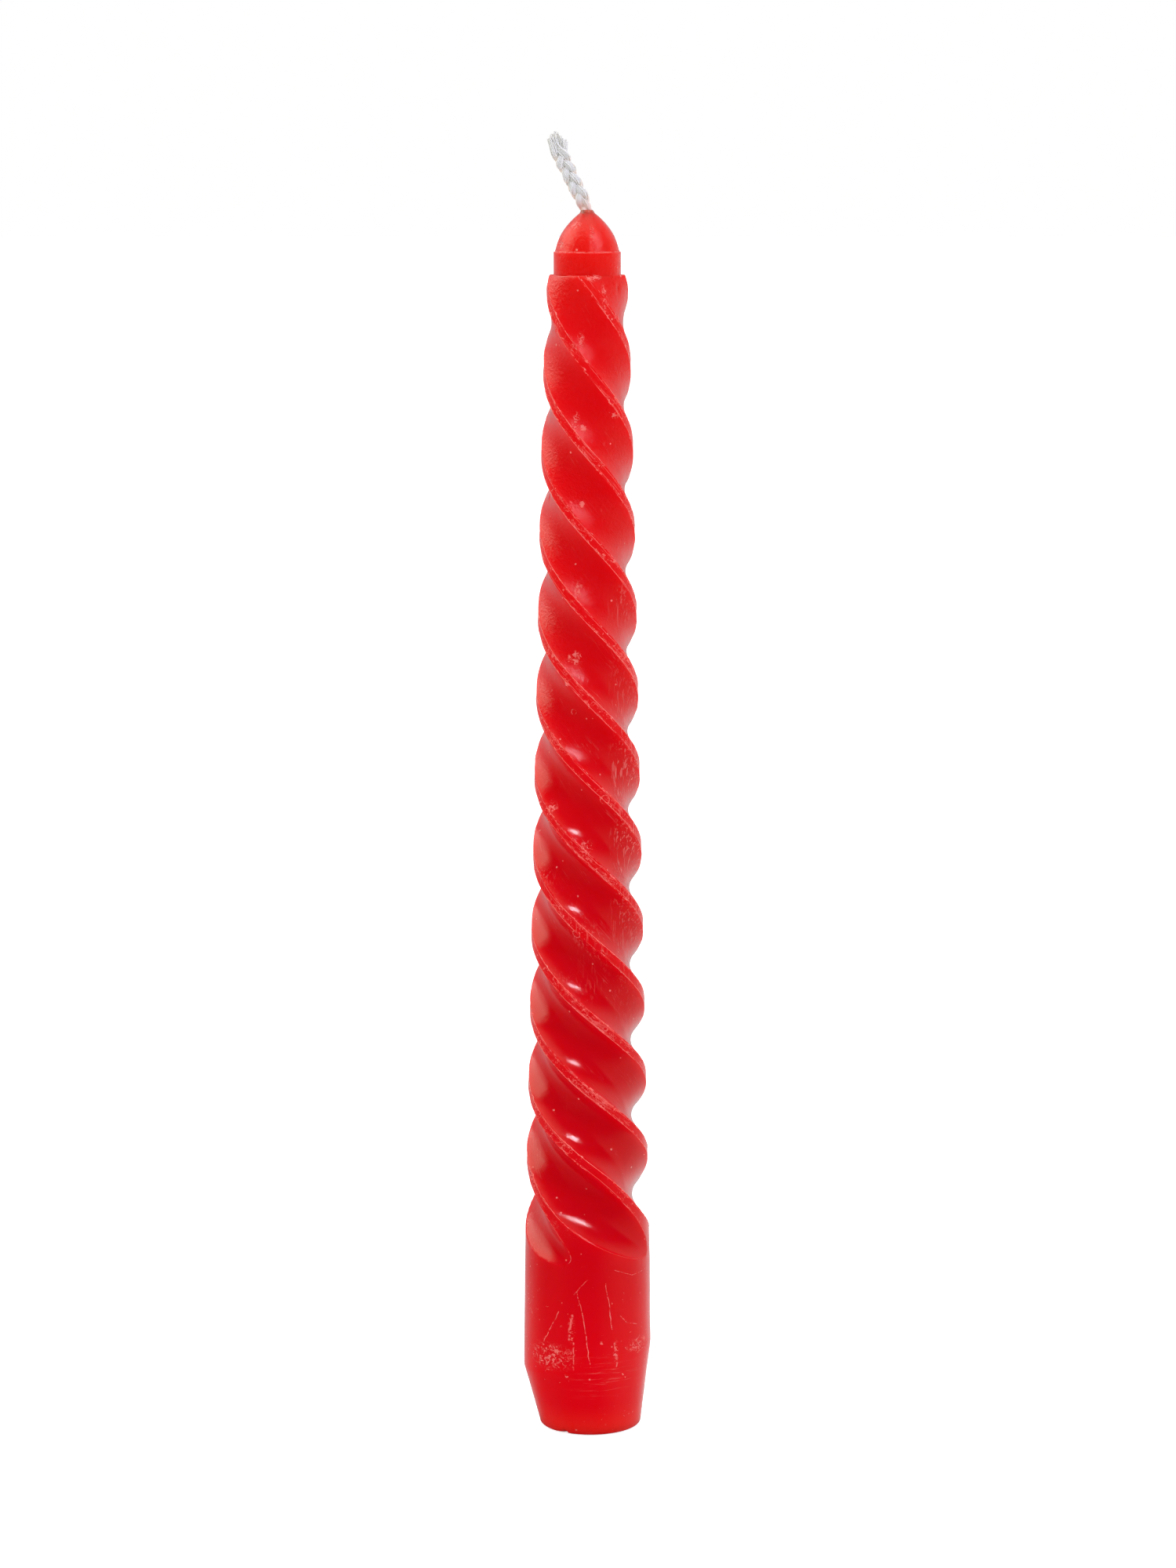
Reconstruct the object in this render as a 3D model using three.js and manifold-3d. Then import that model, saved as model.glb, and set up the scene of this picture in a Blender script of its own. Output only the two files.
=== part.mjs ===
// Twisted taper candle: one casting of red wax round a plaited cotton wick.
// Millimetres, +Z up, origin in the middle of the base, front of the candle towards -Y.

import * as THREE from 'three';
import { mergeVertices } from 'three/addons/utils/BufferGeometryUtils.js';
import ManifoldModule from 'manifold-3d';

const { clamp, degToRad, lerp, smoothstep } = THREE.MathUtils;

// Butt: a short cone that enters a holder's cup, then a plain shank. The cone was
// trimmed a little askew, so its base is off the axis and its upper edge is tilted.
const BASE_RADIUS = 8.8;
const BASE_ROUNDING = 0.6;
const BASE_OFFSET = 0.5;
const BUTT_HEIGHT = 12.5;
const BUTT_RADIUS = 11.0;
const BUTT_EDGE_TILT = 2.0;
const SHANK_HEIGHT = 18.0;

// Twisted stretch: flutes that wind down a cone, with narrow lands between them
const TWIST_HEIGHT = 167.7;
const TWIST_BOTTOM_RADIUS = 10.8;
const TWIST_TOP_RADIUS = 7.1;
const TOP_DRAW_IN = 0.42;
const TOP_DRAW_IN_HEIGHT = 30;
const TOP_EDGE_INSET = 0.45;
const TOP_EDGE_HEIGHT = 3.0;
const FLUTE_COUNT = 4;
const FLUTE_DEPTH_BOTTOM = 2.87;
const FLUTE_DEPTH_TOP = 1.15;
const FLUTE_RUN_OUT = 8.6;
const RUN_OUT_CURVE = 1.35;
const LAND_WIDTH_BOTTOM = 2.4;
const LAND_WIDTH_TOP = 1.85;
const LEAD_BOTTOM = 51.9;
const LEAD_TOP = 56.4;
const FIRST_FLUTE_ANGLE = degToRad(-104.8);
const RUN_OUT_LAG = degToRad(12); // how far the flutes fall short of their turn at the shank
const LAG_BOTTOM = 3.5; // heights above the shank between which they fall behind
const LAG_TOP = 16.5;

// Neck and tip
const COLLAR_RADIUS = 5.65;
const COLLAR_HEIGHT = 3.8;
const LEDGE_WIDTH = 0.5;
const DOME_HEIGHT = 7.3;
const DOME_FULLNESS = 2.05;

// Wick: a plait of three strands, straight up the candle's channel and leaning above it
const STRAND_COUNT = 3;
const STRAND_DIAMETER = 0.74;
const STRAND_CLEARANCE = 0.14;
const PLAIT_BREADTH = 0.97; // reach of the strand centres sideways, in strand spacings
const PLAIT_THICKNESS = 0.77; // the same from front to back
const PLAIT_PITCH = 7.2;
const PLAIT_PHASE = degToRad(45);
const PLAIT_LEAD_IN = 3.0;
const CHANNEL_CLEARANCE = 0.3;
const WICK_FOOT = 0.3;
const WICK_RISE = 12.7;
const WICK_LEAN = 5.3;
const WICK_BEND_DEPTH = 2.3;
const LOWER_BEND_RISE = 4.6;
const UPPER_BEND_RISE = 6.2;
const UPPER_BEND_LEAN = 0.45;
const FRAY_LENGTH = 5.0;
const FRAY_SPREAD = 0.35;
const STRAND_END_STEP = 0.6;

// Fineness of the faceted surfaces
const FACET_STEPS = 8;
const LAND_STEPS = 2;
const RING_STEP = 1.9;
const RUN_OUT_RINGS = 8;
const DOME_RINGS = 9;
const ROUNDING_STEPS = 3;
const TOP_EDGE_STEPS = 4;
const CHANNEL_SEGMENTS = 24;
const STRAND_QUARTER_STEPS = 4;
const PLAIT_STEP = 0.45;

// Heights and sizes that follow from the ones above
const SHANK_TOP = BUTT_HEIGHT + SHANK_HEIGHT;
const TWIST_TOP = SHANK_TOP + TWIST_HEIGHT;
const COLLAR_TOP = TWIST_TOP + COLLAR_HEIGHT;
const WAX_TOP = COLLAR_TOP + DOME_HEIGHT;
const COLUMNS_PER_FLUTE = FACET_STEPS + LAND_STEPS;
const STRAND_SPACING = STRAND_DIAMETER + STRAND_CLEARANCE;
const PLAIT_HALF_WIDTH = PLAIT_BREADTH * STRAND_SPACING;
const PLAIT_HALF_DEPTH = PLAIT_THICKNESS * STRAND_SPACING;
const CHANNEL_RADIUS = PLAIT_HALF_WIDTH + STRAND_DIAMETER / 2 + CHANNEL_CLEARANCE;

const waxMaterial = new THREE.MeshStandardMaterial({ color: 0xd4101a, roughness: 0.3, metalness: 0 });
const wickMaterial = new THREE.MeshStandardMaterial({ color: 0xcdc8c1, roughness: 0.95, metalness: 0 });

const manifold = await ManifoldModule();
manifold.setup();

// Twisted stretch, from a height above the base

function twistShare(height) {
  return clamp((height - SHANK_TOP) / TWIST_HEIGHT, 0, 1);
}

function topDrawIn(height) {
  const drawn = clamp((height - TWIST_TOP) / TOP_DRAW_IN_HEIGHT + 1, 0, 1);
  return TOP_DRAW_IN * drawn ** 2;
}

function landRadius(height) {
  return lerp(TWIST_BOTTOM_RADIUS, TWIST_TOP_RADIUS, twistShare(height)) - topDrawIn(height);
}

// The turns per millimetre change evenly from one end of the stretch to the other.
function fluteTurn(height) {
  const share = twistShare(height);
  const turns = TWIST_HEIGHT * share * (1 / LEAD_BOTTOM + (1 / LEAD_TOP - 1 / LEAD_BOTTOM) * share / 2);
  const lag = RUN_OUT_LAG * (1 - smoothstep(height - SHANK_TOP, LAG_BOTTOM, LAG_TOP));
  return FIRST_FLUTE_ANGLE - 2 * Math.PI * turns - lag;
}

// One point of the section, as an angle and a radius. Columns run round the candle,
// the columns of a flute's facet first and then those of the land beside it.
function sectionPoint(column, height) {
  const share = twistShare(height);
  const radius = landRadius(height);
  const halfPeriod = Math.PI / FLUTE_COUNT;
  const halfLand = lerp(LAND_WIDTH_BOTTOM, LAND_WIDTH_TOP, share) / 2 / radius;
  const centre = fluteTurn(height) + 2 * halfPeriod * Math.floor(column / COLUMNS_PER_FLUTE);
  const step = column % COLUMNS_PER_FLUTE;
  if (step > FACET_STEPS) {
    const across = (step - FACET_STEPS) / LAND_STEPS;
    return { angle: centre + halfPeriod + halfLand * (2 * across - 1), radius };
  }

  // The facet bows evenly from its middle to the edges of the lands.
  const across = 2 * step / FACET_STEPS - 1;
  const edgeAngle = halfPeriod - halfLand;
  const depth = lerp(FLUTE_DEPTH_BOTTOM, FLUTE_DEPTH_TOP, share) - topDrawIn(height);
  const floor = radius - depth;
  const side = radius * Math.sin(edgeAngle) * across;
  const out = lerp(floor, radius * Math.cos(edgeAngle), across ** 2);

  // Near the shank the flute rises out of the wax in a rounded scoop.
  const leaving = clamp((SHANK_TOP + FLUTE_RUN_OUT - height) / FLUTE_RUN_OUT, 0, 1);
  const reached = Math.hypot(side, out) + depth * leaving ** RUN_OUT_CURVE;
  return { angle: centre + Math.atan2(side, out), radius: Math.min(reached, radius) };
}

// Rings of the body, from the middle of the base to the tip. Each gives the place of
// its point in a column. A plain ring is a circle and a fluted one follows the section.

function plainRing(radius, height, { offset = 0, tilt = 0 } = {}) {
  return (column) => {
    const { angle } = sectionPoint(column, height);
    const [across, away] = [Math.cos(angle), Math.sin(angle)];
    return [offset + radius * across, radius * away, height + tilt * across];
  };
}

function flutedRing(height, inset = 0) {
  return (column) => {
    const { angle, radius } = sectionPoint(column, height);
    return [(radius - inset) * Math.cos(angle), (radius - inset) * Math.sin(angle), height];
  };
}

function evenly(count, make) {
  return Array.from({ length: count + 1 }, (_, step) => make(step / count));
}

function buttRings() {
  const rim = evenly(ROUNDING_STEPS, (share) => {
    const angle = share * Math.PI / 2;
    const radius = BASE_RADIUS - BASE_ROUNDING * (1 - Math.sin(angle));
    return plainRing(radius, BASE_ROUNDING * (1 - Math.cos(angle)), { offset: BASE_OFFSET });
  });
  const middle = plainRing(0, 0, { offset: BASE_OFFSET });
  return [middle, ...rim, plainRing(BUTT_RADIUS, BUTT_HEIGHT, { tilt: BUTT_EDGE_TILT })];
}

function twistRings() {
  const runOutTop = SHANK_TOP + FLUTE_RUN_OUT;
  const edge = TWIST_TOP - TOP_EDGE_HEIGHT;
  const ringCount = Math.ceil((edge - runOutTop) / RING_STEP);
  const runOut = evenly(RUN_OUT_RINGS, (share) => flutedRing(lerp(SHANK_TOP, runOutTop, share)));
  const flutes = evenly(ringCount, (share) => flutedRing(lerp(runOutTop, edge, share)));
  const topEdge = evenly(TOP_EDGE_STEPS, (share) => {
    const angle = share * Math.PI / 2;
    return flutedRing(edge + TOP_EDGE_HEIGHT * Math.sin(angle), TOP_EDGE_INSET * (1 - Math.cos(angle)));
  });
  return [...runOut, ...flutes.slice(1), ...topEdge.slice(1)];
}

function tipRings() {
  const domeRadius = COLLAR_RADIUS - LEDGE_WIDTH;
  const dome = evenly(DOME_RINGS, (share) => {
    const rise = Math.sin(share * Math.PI / 2);
    return plainRing(domeRadius * (1 - rise ** DOME_FULLNESS), COLLAR_TOP + DOME_HEIGHT * rise);
  });
  return [plainRing(COLLAR_RADIUS, TWIST_TOP), plainRing(COLLAR_RADIUS, COLLAR_TOP), ...dome];
}

// A lathe joins the rings into a closed skin, and each of its points then moves to
// its own place.
function twistedBlank() {
  const rings = [...buttRings(), ...twistRings(), ...tipRings()];
  const columns = FLUTE_COUNT * COLUMNS_PER_FLUTE;
  const blank = new THREE.LatheGeometry(rings.map((_, ring) => new THREE.Vector2(1, ring)), columns);
  for (let point = 0; point < blank.attributes.position.count; point += 1) {
    const column = Math.floor(point / rings.length) % columns;
    blank.attributes.position.setXYZ(point, ...rings[point % rings.length](column));
  }
  turnDiagonals(blank);
  return blank;
}

// The twist leans each four-sided patch over, so its shorter diagonal is used.
function turnDiagonals(geometry) {
  const index = geometry.index.array;
  for (let patch = 0; patch < index.length; patch += 6) {
    const [low, lowNext, high, highNext] = index.slice(patch, patch + 4);
    index.set([low, lowNext, highNext, low, highNext, high], patch);
  }
}

// Solids for cutting

function toSolid(geometry) {
  const bare = geometry.clone();
  bare.deleteAttribute('normal');
  bare.deleteAttribute('uv');
  const merged = mergeVertices(bare);
  const corners = merged.index.array;
  const triangles = [];
  for (let first = 0; first < corners.length; first += 3) {
    const [a, b, c] = corners.slice(first, first + 3);
    if (a !== b && b !== c && c !== a) triangles.push(a, b, c);
  }
  return new manifold.Manifold(new manifold.Mesh({
    numProp: 3,
    vertProperties: new Float32Array(merged.attributes.position.array),
    triVerts: new Uint32Array(triangles),
  }));
}

function toGeometry(solid) {
  const mesh = solid.getMesh();
  const geometry = new THREE.BufferGeometry();
  geometry.setAttribute('position', new THREE.BufferAttribute(mesh.vertProperties, mesh.numProp));
  geometry.setIndex(new THREE.BufferAttribute(mesh.triVerts, 1));
  geometry.computeVertexNormals();
  return geometry;
}

// Wax body: the twisted blank with the wick's channel through its whole length
function waxBody() {
  const channel = new THREE.CylinderGeometry(CHANNEL_RADIUS, CHANNEL_RADIUS, 2 * WAX_TOP, CHANNEL_SEGMENTS);
  channel.rotateX(Math.PI / 2);
  const wax = toSolid(twistedBlank()).subtract(toSolid(channel));
  return new THREE.Mesh(toGeometry(wax), waxMaterial);
}

// Wick

const BEND_START = WAX_TOP - WICK_BEND_DEPTH;
const leaningWick = new THREE.CubicBezierCurve3(
  new THREE.Vector3(0, 0, BEND_START),
  new THREE.Vector3(0, 0, BEND_START + LOWER_BEND_RISE),
  new THREE.Vector3(UPPER_BEND_LEAN - WICK_LEAN, 0, WAX_TOP + WICK_RISE - UPPER_BEND_RISE),
  new THREE.Vector3(-WICK_LEAN, 0, WAX_TOP + WICK_RISE),
);
const LEANING_LENGTH = leaningWick.getLength();
const PLAIT_START = BEND_START - PLAIT_LEAD_IN;
const WICK_END = BEND_START + LEANING_LENGTH;

// Middle of the wick at a length along it, with the direction across its flat side
function wickMiddle(length) {
  if (length <= BEND_START) {
    return { middle: new THREE.Vector3(0, 0, length), across: new THREE.Vector3(1, 0, 0) };
  }
  const share = Math.min((length - BEND_START) / LEANING_LENGTH, 1);
  const tangent = leaningWick.getTangentAt(share);
  return { middle: leaningWick.getPointAt(share), across: new THREE.Vector3(tangent.z, 0, -tangent.x) };
}

// The plait's turning grows evenly over its lead-in; below that the strands run straight.
function plaitPhase(length) {
  const leadIn = clamp((length - PLAIT_START) / PLAIT_LEAD_IN, 0, 1);
  const plaited = PLAIT_LEAD_IN * leadIn ** 2 / 2 + Math.max(length - BEND_START, 0);
  return PLAIT_PHASE + 2 * Math.PI * plaited / PLAIT_PITCH;
}

// Path of one strand. Its steps follow stations along the wick, so that the long
// straight run up the channel takes few of them.
class StrandPath extends THREE.Curve {
  constructor(strand) {
    super();
    this.strand = strand;
    this.end = WICK_END - STRAND_END_STEP * strand;
    const plaitSteps = Math.ceil((this.end - PLAIT_START) / PLAIT_STEP);
    this.stations = [WICK_FOOT, ...evenly(plaitSteps, (share) => lerp(PLAIT_START, this.end, share))];
  }

  get steps() {
    return this.stations.length - 1;
  }

  getUtoTmapping(u) {
    return u;
  }

  getPoint(t) {
    const station = clamp(t * this.steps, 0, this.steps);
    const before = Math.min(Math.floor(station), this.steps - 1);
    const length = lerp(this.stations[before], this.stations[before + 1], station - before);
    const phase = plaitPhase(length) + 2 * Math.PI * this.strand / STRAND_COUNT;
    const frayed = clamp((length - WICK_END) / FRAY_LENGTH + 1, 0, 1);
    const spread = 1 + FRAY_SPREAD * frayed ** 2;
    const { middle, across } = wickMiddle(length);
    const point = middle.addScaledVector(across, spread * PLAIT_HALF_WIDTH * Math.sin(phase));
    point.y += spread * PLAIT_HALF_DEPTH * Math.sin(2 * phase);
    return point;
  }
}

function wickStrand(strand) {
  const path = new StrandPath(strand);
  const section = new THREE.Shape().absarc(0, 0, STRAND_DIAMETER / 2, 0, 2 * Math.PI);
  const yarn = new THREE.ExtrudeGeometry(section, {
    steps: path.steps,
    curveSegments: STRAND_QUARTER_STEPS,
    bevelEnabled: false,
    extrudePath: path,
  });
  return new THREE.Mesh(yarn, wickMaterial);
}

// Assembly

function named(mesh, name) {
  mesh.name = name;
  return mesh;
}

const candle = new THREE.Group();
candle.add(named(waxBody(), 'wax_body'));
for (let strand = 0; strand < STRAND_COUNT; strand += 1) {
  candle.add(named(wickStrand(strand), `wick_strand_${strand + 1}`));
}

export default candle;
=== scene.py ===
"""Twisted taper candle: one casting of red wax with four shallow flutes, and a plaited cotton wick.

The scene is in metres, with +Z up and the front of the candle towards -Y. The candle's own
sizes are in millimetres, as a candle maker would give them, and each mesh is scaled once.
"""

import math
from dataclasses import dataclass

import bpy
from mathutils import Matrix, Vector

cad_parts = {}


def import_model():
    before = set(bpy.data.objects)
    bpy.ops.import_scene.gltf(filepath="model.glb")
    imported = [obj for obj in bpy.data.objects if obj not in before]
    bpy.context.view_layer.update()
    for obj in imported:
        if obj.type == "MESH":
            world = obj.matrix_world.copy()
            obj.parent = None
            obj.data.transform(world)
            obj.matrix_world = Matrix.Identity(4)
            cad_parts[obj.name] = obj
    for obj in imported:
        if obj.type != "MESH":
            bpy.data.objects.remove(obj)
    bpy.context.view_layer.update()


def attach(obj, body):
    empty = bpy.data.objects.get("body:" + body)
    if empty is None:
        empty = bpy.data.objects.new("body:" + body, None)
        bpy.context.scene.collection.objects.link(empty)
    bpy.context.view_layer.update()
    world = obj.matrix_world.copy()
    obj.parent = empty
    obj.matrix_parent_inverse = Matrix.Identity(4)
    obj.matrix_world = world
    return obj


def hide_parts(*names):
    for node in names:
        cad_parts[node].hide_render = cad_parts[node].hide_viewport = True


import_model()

MM = 0.001

# Butt and shank
BASE_RADIUS = 8.8
BASE_ROUNDING = 0.6
BASE_OFFSET = 0.5
BUTT_HEIGHT = 12.5
BUTT_RADIUS = 11.0
BUTT_EDGE_TILT = 2.0
SHANK_TOP = 30.5
SHANK_TOP_RADIUS = 10.8

# Twisted stretch
TWIST_HEIGHT = 167.7
TWIST_TOP = SHANK_TOP + TWIST_HEIGHT
FLUTE_COUNT = 4
FLUTE_RUN_OUT = 8.6
TOP_EDGE_INSET = 0.45
TOP_EDGE_HEIGHT = 3.0

# Neck and tip. The dome's outline would close at its height, but the wick leaves it lower.
COLLAR_RADIUS = 5.65
COLLAR_HEIGHT = 3.8
COLLAR_TOP = TWIST_TOP + COLLAR_HEIGHT
DOME_RADIUS = 5.15
DOME_HEIGHT = 7.3
DOME_FULLNESS = 2.05
DOME_FLARE = 0.3
DOME_FLARE_HEIGHT = 0.8
WAX_TOP = COLLAR_TOP + 7.0
CHANNEL_RADIUS = 1.52

# The lip of wax that creeps up the wick: height and radius of each ring, up its outside and down
# its inside to the wick's channel
LIP_FOOT = 208.4
LIP_OUTSIDE = [(208.55, 1.17), (208.7, 1.09), (208.82, 1.00), (208.92, 0.90)]
LIP_INSIDE = [(208.2, 0.84), (207.4, 0.92), (206.6, 1.15), (205.6, CHANNEL_RADIUS)]

# Wick. Above the bend its middle line is a curve with four control points.
STRAND_COUNT = 3
PLAIT_HALF_WIDTH = 0.76
PLAIT_HALF_DEPTH = 0.44
PLAIT_PITCH = 7.2
PLAIT_PHASE = math.radians(45)
PLAIT_LEAD_IN = 3.0
WICK_FOOT = 0.3
WICK_GATHERED = 0.62
GATHERED_BELOW_TOP = 0.6
SPREAD_ABOVE_TOP = 2.6
BEND_START = WAX_TOP - 2.0
PLAIT_START = BEND_START - PLAIT_LEAD_IN
LEANING_WICK = [
    Vector((0, 0, BEND_START)),
    Vector((0, 0, BEND_START + 4.6)),
    Vector((-4.85, 0, 215.8)),
    Vector((-5.3, 0, 222.0)),
]
BRUSH_LENGTH = 6.5
BRUSH_SPREAD = 0.52
BRUSH_FLATTENING = 0.6
BRUSH_PEAK_OFFSET = 0.15
FIBRE_SIDES = 6
CORE_SIDES = 10
WICK_SEED = 11

# Camera and lamps, in metres and degrees. The lamps face a point half way up the candle, and the
# world shows a softbox in the same direction as the left-hand lamp.
CAMERA_TARGET = (0.0001225, 0.0, 0.11212)
CAMERA_ELEVATION = 9.08
CAMERA_DISTANCE = 0.74304
CAMERA_LENS = 100.38
LAMP_TARGET = (0.0, 0.0, 0.11)
SOFTBOX_DIRECTION = (-0.746, 0.172, 0.643)

# Levels of light in the world: what falls on the object, and what its gloss shows
PLAIN_LEVEL = 0.85
BACKDROP_LEVEL = 0.58
SOFTBOX_LEVEL = 1.65
ABOVE_LEVEL = 0.8

# Floor, in metres. It lies just under the base, so that the two surfaces don't mix.
FLOOR_SIZE = 12.0
FLOOR_HEIGHT = -0.0001


# Sums inside a node tree


class Field:
    """One socket of a node tree, which can be used in ordinary sums."""

    def __init__(self, tree, socket):
        self.tree = tree
        self.socket = socket

    def calculate(self, operation, *others):
        node = self.tree.nodes.new("ShaderNodeMath")
        node.operation = operation
        for socket, term in zip(node.inputs, (self, *others)):
            plug(self.tree, term, socket)
        return Field(self.tree, node.outputs[0])

    def __add__(self, other):
        return self.calculate("ADD", other)

    def __sub__(self, other):
        return self.calculate("SUBTRACT", other)

    def __rsub__(self, other):
        return (self * -1) + other

    def __mul__(self, other):
        return self.calculate("MULTIPLY", other)

    __rmul__ = __mul__

    def __truediv__(self, other):
        return self.calculate("DIVIDE", other)

    def __pow__(self, other):
        return self.calculate("POWER", other)

    def sin(self):
        return self.calculate("SINE")

    def cos(self):
        return self.calculate("COSINE")

    def size(self):
        return self.calculate("ABSOLUTE")

    def clamp(self):
        node = self.tree.nodes.new("ShaderNodeClamp")
        plug(self.tree, self, node.inputs["Value"])
        return Field(self.tree, node.outputs[0])

    def smooth(self, low, high):
        """0 below low, 1 above high and an even curve between them; low may be above high."""
        node = self.tree.nodes.new("ShaderNodeMapRange")
        node.interpolation_type = "SMOOTHSTEP"
        plug(self.tree, self, node.inputs["Value"])
        plug(self.tree, low, node.inputs["From Min"])
        plug(self.tree, high, node.inputs["From Max"])
        return Field(self.tree, node.outputs[0])

    def bell(self, middle, width):
        """1 at the middle, falling off to nothing over a few widths."""
        away = (self - middle) / width
        return (away * away * -1).calculate("EXPONENT")


def plug(tree, value, socket):
    if isinstance(value, Field):
        tree.links.new(value.socket, socket)
    else:
        socket.default_value = value


def in_use(sockets, label=None):
    """The socket of that name that the node's settings leave in use, or the first one in use."""
    return next(socket for socket in sockets if socket.enabled and label in (None, socket.name))


def add_node(tree, kind, settings=None, **inputs):
    """A new node, with its settings made first and its inputs plugged by name."""
    node = tree.nodes.new(kind)
    for setting, value in (settings or {}).items():
        setattr(node, setting, value)
    for label, value in inputs.items():
        plug(tree, value, in_use(node.inputs, label.replace("_", " ")))
    return node


def result(tree, kind, settings=None, **inputs):
    """The first output in use of a new node."""
    return Field(tree, in_use(add_node(tree, kind, settings, **inputs).outputs))


def blend(first, second, share):
    """The first where the share is 0 and the second where it is 1."""
    return (second - first) * share + first


def strongest(fields):
    """The greatest of several fields at each point."""
    most = fields[0]
    for field in fields[1:]:
        most = most.calculate("MAXIMUM", field)
    return most


def combine(tree, x, y, z):
    return result(tree, "ShaderNodeCombineXYZ", X=x, Y=y, Z=z)


def separate(vector):
    node = add_node(vector.tree, "ShaderNodeSeparateXYZ", Vector=vector)
    return [Field(vector.tree, socket) for socket in node.outputs]


def vector_sum(tree, operation, first, second):
    """A vector calculation on two vectors, or on a vector and a number where it is SCALE."""
    node = add_node(tree, "ShaderNodeVectorMath", {"operation": operation})
    plug(tree, first, node.inputs[0])
    plug(tree, second, node.inputs["Scale"] if operation == "SCALE" else node.inputs[1])
    return Field(tree, in_use(node.outputs))


def noise(place, scale, detail=2.0, roughness=0.5, distortion=0.0):
    inputs = {"Vector": place, "Scale": scale, "Detail": detail}
    inputs |= {"Roughness": roughness, "Distortion": distortion}
    return result(place.tree, "ShaderNodeTexNoise", **inputs)


def cells(place, scale):
    """Distance to the nearest of many scattered points."""
    return result(place.tree, "ShaderNodeTexVoronoi", Vector=place, Scale=scale)


def stretch(place, x, y, z):
    return vector_sum(place.tree, "MULTIPLY", place, (x, y, z))


# Geometry Nodes trees and finished pieces

SOCKETS = {float: "NodeSocketFloat", int: "NodeSocketInt", bpy.types.Material: "NodeSocketMaterial"}


class Recipe:
    """A Geometry Nodes tree with named sizes."""

    def __init__(self, name, **sizes):
        self.tree = bpy.data.node_groups.new(name, "GeometryNodeTree")
        self.sizes = {label.replace("_", " ").capitalize(): value for label, value in sizes.items()}
        new_socket = self.tree.interface.new_socket
        for in_out in ("OUTPUT", "INPUT"):
            new_socket("Geometry", in_out=in_out, socket_type="NodeSocketGeometry")
        for label, value in self.sizes.items():
            new_socket(label, in_out="INPUT", socket_type=SOCKETS[type(value)])
        self.start = self.tree.nodes.new("NodeGroupInput")
        self.end = self.tree.nodes.new("NodeGroupOutput")

    def size(self, label):
        return Field(self.tree, self.start.outputs[label])

    def source(self):
        return Field(self.tree, self.start.outputs["Geometry"])

    def step(self, kind, settings=None, **inputs):
        return result(self.tree, "GeometryNode" + kind, settings, **inputs)

    def attribute(self, label):
        return self.step("InputNamedAttribute", {"data_type": "FLOAT"}, Name=label)

    def store(self, geometry, label, value, data_type="FLOAT"):
        settings = {"data_type": data_type, "domain": "POINT"}
        inputs = {"Geometry": geometry, "Name": label, "Value": value}
        return self.step("StoreNamedAttribute", settings, **inputs)

    def finish(self, geometry):
        """Shades it smooth, realizes the instances and gives the whole its material."""
        smooth = self.step("SetShadeSmooth", Geometry=geometry)
        whole = self.step("RealizeInstances", Geometry=smooth)
        painted = self.step("SetMaterial", Geometry=whole, Material=self.size("Material"))
        self.tree.links.new(painted.socket, self.end.inputs[0])

    def apply(self, source, name):
        """Runs the tree on an object and returns a plain mesh object made from its result."""
        modifier = source.modifiers.new("recipe", "NODES")
        modifier.node_group = self.tree
        for item in self.tree.interface.items_tree:
            if item.in_out == "INPUT" and item.name in self.sizes:
                modifier[item.identifier] = self.sizes[item.name]
        bpy.context.view_layer.update()
        graph = bpy.context.evaluated_depsgraph_get()
        shaped = source.evaluated_get(graph)
        mesh = bpy.data.meshes.new_from_object(
            shaped, preserve_all_data_layers=True, depsgraph=graph
        )
        source.modifiers.remove(modifier)
        bpy.data.objects.remove(source)
        mesh.name = name
        return new_object(name, mesh)


def new_object(name, data):
    made = bpy.data.objects.new(name, data)
    bpy.context.collection.objects.link(made)
    return made


def hand_over(piece, slot, *nodes):
    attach(piece, "root")
    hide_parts(*nodes)


# Turned blank of the wax body, before its flutes are cut


@dataclass
class Ring:
    """A ring of the blank.

    Twisted is how far it follows the flutes' section, from 0 to 1, and inset how far it lies inside
    that section. Tilt raises its +X side and lowers the other, and offset moves it towards +X.
    """

    height: float
    radius: float
    twisted: float = 0.0
    inset: float = 0.0
    tilt: float = 0.0
    offset: float = 0.0


def evenly(count, start=0.0, end=1.0):
    """Numbers from the start to the end, in that many equal steps."""
    return [blend(start, end, step / count) for step in range(count + 1)]


def base_rings():
    rings = []
    for share in (0.0, 0.02, 0.2, 0.4, 0.6, 0.8, 1.0):
        radius = blend(CHANNEL_RADIUS, BASE_RADIUS - BASE_ROUNDING - 0.1, share)
        rings.append(Ring(0.0, radius, offset=BASE_OFFSET * share))
    for share in evenly(7):
        angle = share * math.pi / 2
        radius = BASE_RADIUS - BASE_ROUNDING * (1 - math.sin(angle))
        rings.append(Ring(BASE_ROUNDING * (1 - math.cos(angle)), radius, offset=BASE_OFFSET))
    return rings


def butt_rings():
    rings = []
    for share in [*evenly(30, 0.03, 0.985), 1.0]:
        height = blend(BASE_ROUNDING, BUTT_HEIGHT, share)
        radius = blend(BASE_RADIUS, BUTT_RADIUS, share)
        edge = 0.04 * (share == 1.0)
        offset = BASE_OFFSET * (1 - share)
        rings.append(Ring(height, radius - edge, tilt=BUTT_EDGE_TILT * share, offset=offset))
    for share in evenly(36, 0.012, 1.0):
        height = blend(BUTT_HEIGHT, SHANK_TOP, share)
        radius = blend(BUTT_RADIUS, SHANK_TOP_RADIUS, share)
        rings.append(Ring(height, radius, tilt=BUTT_EDGE_TILT * (1 - share)))
    return rings


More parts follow.
